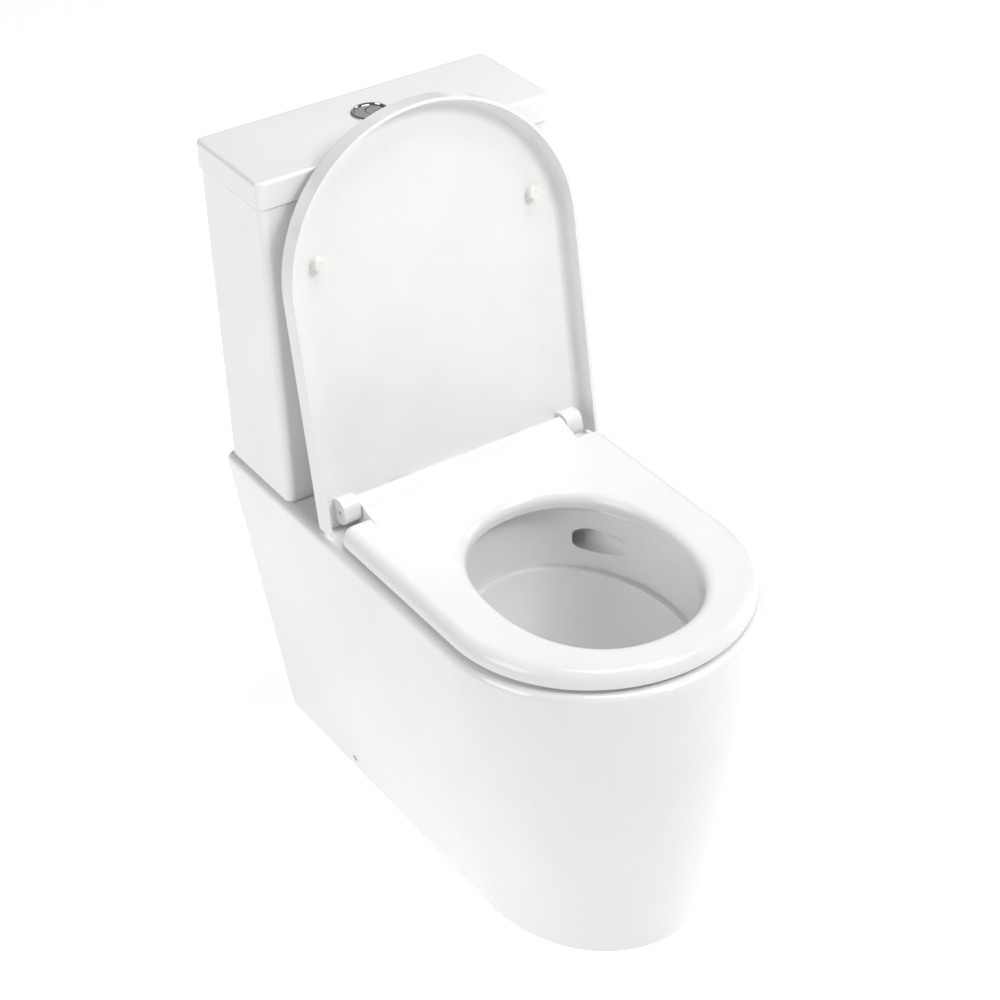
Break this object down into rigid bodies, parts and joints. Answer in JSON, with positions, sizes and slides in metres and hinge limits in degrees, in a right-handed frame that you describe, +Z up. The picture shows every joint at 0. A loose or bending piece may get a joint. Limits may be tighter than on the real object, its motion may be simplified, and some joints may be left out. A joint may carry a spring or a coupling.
{
  "type": "close coupled toilet",
  "caption": "Close-coupled toilet with a fully shrouded back-to-wall pan, a slim cistern with dual-flush button, and a soft-close D-shaped seat and lid.",
  "frame": {"origin": "on the floor under the middle of the toilet, halfway between the wall and the front of the pan", "axes": "+Z up, -Y towards the user, the wall at +Y, +X to the right when facing the toilet"},
  "size_m": [0.369, 0.6499, 0.8512],
  "materials": {
    "china": "gloss white glaze",
    "seat_plastic": "polished white duroplast",
    "chrome": "polished",
    "white_plastic": "moulded",
    "grey_plastic": "moulded",
    "soft_pad": "satin",
    "black_rubber": "matt",
    "steel": "bright zinc or stainless"
  },
  "bodies": {
    "toilet": {"cistern_bolt_washers": "black_rubber", "cistern_bolts": "steel", "cistern_pads": "soft_pad", "cistern_tank": "china", "coupling_gasket": "black_rubber", "fill_valve_body": "white_plastic", "fill_valve_cap": "grey_plastic", "fill_valve_nut": "white_plastic", "fill_valve_washer": "black_rubber", "float_arm_pin": "white_plastic", "floor_brackets": "grey_plastic", "flush_valve_body": "white_plastic", "flush_valve_nut": "white_plastic", "flush_valve_washer": "black_rubber", "hinge_pins": "steel", "hinge_posts": "white_plastic", "lever_pins": "white_plastic", "pan": "china", "seat_bolt_sleeves": "black_rubber", "seat_bolts": "steel", "seat_nuts": "grey_plastic", "under_deck_washers": "black_rubber", "wing_nuts": "white_plastic"},
    "full_button": {"full_flush_button": "chrome", "full_push_rod": "white_plastic"},
    "half_button": {"half_flush_button": "chrome", "half_push_rod": "white_plastic"},
    "cistern_cover": {"cistern_lid": "china", "button_bezel": "chrome", "button_nut": "white_plastic", "full_button_spring": "steel", "half_button_spring": "steel"},
    "full_lever": {"full_flush_lever": "grey_plastic"},
    "half_lever": {"half_flush_lever": "grey_plastic"},
    "flush_plunger": {"overflow_tube": "grey_plastic", "flush_seal": "black_rubber"},
    "half_float": {"half_flush_float": "white_plastic"},
    "fill_float": {"fill_valve_float": "grey_plastic", "float_link": "white_plastic"},
    "fill_arm": {"float_arm": "white_plastic"},
    "seat": {"seat": "seat_plastic", "seat_buffers": "soft_pad", "seat_damper": "white_plastic"},
    "seat_lid": {"seat_lid": "seat_plastic", "seat_lid_buffers": "soft_pad", "lid_damper": "white_plastic"}
  },
  "joints": [
    {"name": "seat_lid_hinge", "type": "hinge", "parent": "toilet", "child": "seat_lid", "pos_m": [0, 0.11, 0.424], "axis": [-1, 0, 0], "range_deg": [-98.2, 0]},
    {"name": "seat_hinge", "type": "hinge", "parent": "toilet", "child": "seat", "pos_m": [0, 0.11, 0.424], "axis": [-1, 0, 0], "range_deg": [0, 97]},
    {"name": "cistern_lid_lift", "type": "slide", "parent": "toilet", "child": "cistern_cover", "axis": [0, 0, 1], "range_m": [0, 0.25]},
    {"name": "full_flush_press", "type": "slide", "parent": "cistern_cover", "child": "full_button", "axis": [0, 0, 1], "range_m": [-0.005, 0], "stiffness_N_per_m": 300, "springref_m": 0.008, "deforming": ["full_button_spring"]},
    {"name": "half_flush_press", "type": "slide", "parent": "cistern_cover", "child": "half_button", "axis": [0, 0, 1], "range_m": [-0.005, 0], "stiffness_N_per_m": 300, "springref_m": 0.008, "deforming": ["half_button_spring"]},
    {"name": "full_lever_pivot", "type": "hinge", "parent": "toilet", "child": "full_lever", "pos_m": [0.024, 0.265, 0.655], "axis": [0, -1, 0], "range_deg": [0, 28.1]},
    {"name": "half_lever_pivot", "type": "hinge", "parent": "toilet", "child": "half_lever", "pos_m": [-0.024, 0.265, 0.655], "axis": [0, 1, 0], "range_deg": [0, 28.1]},
    {"name": "plunger_lift", "type": "slide", "parent": "toilet", "child": "flush_plunger", "axis": [0, 0, 1], "range_m": [0, 0.0091]},
    {"name": "half_float_lift", "type": "slide", "parent": "toilet", "child": "half_float", "axis": [0, 0, 1], "range_m": [0, 0.0091]},
    {"name": "float_rise", "type": "slide", "parent": "toilet", "child": "fill_float", "axis": [0, 0, 1], "range_m": [0, 0.012]},
    {"name": "float_arm_pivot", "type": "hinge", "parent": "toilet", "child": "fill_arm", "pos_m": [-0.118, 0.265, 0.672], "axis": [0, 1, 0], "range_deg": [0, 18.2]}
  ],
  "couplings": [
    {"joint": "full_lever_pivot", "follows": "full_flush_press", "rad_per_m": -97.7},
    {"joint": "half_lever_pivot", "follows": "half_flush_press", "rad_per_m": -97.7},
    {"joint": "plunger_lift", "follows": "full_flush_press", "ratio": -1.8},
    {"joint": "half_float_lift", "follows": "half_flush_press", "ratio": -1.8},
    {"joint": "float_arm_pivot", "follows": "float_rise", "rad_per_m": 26.3}
  ]
}
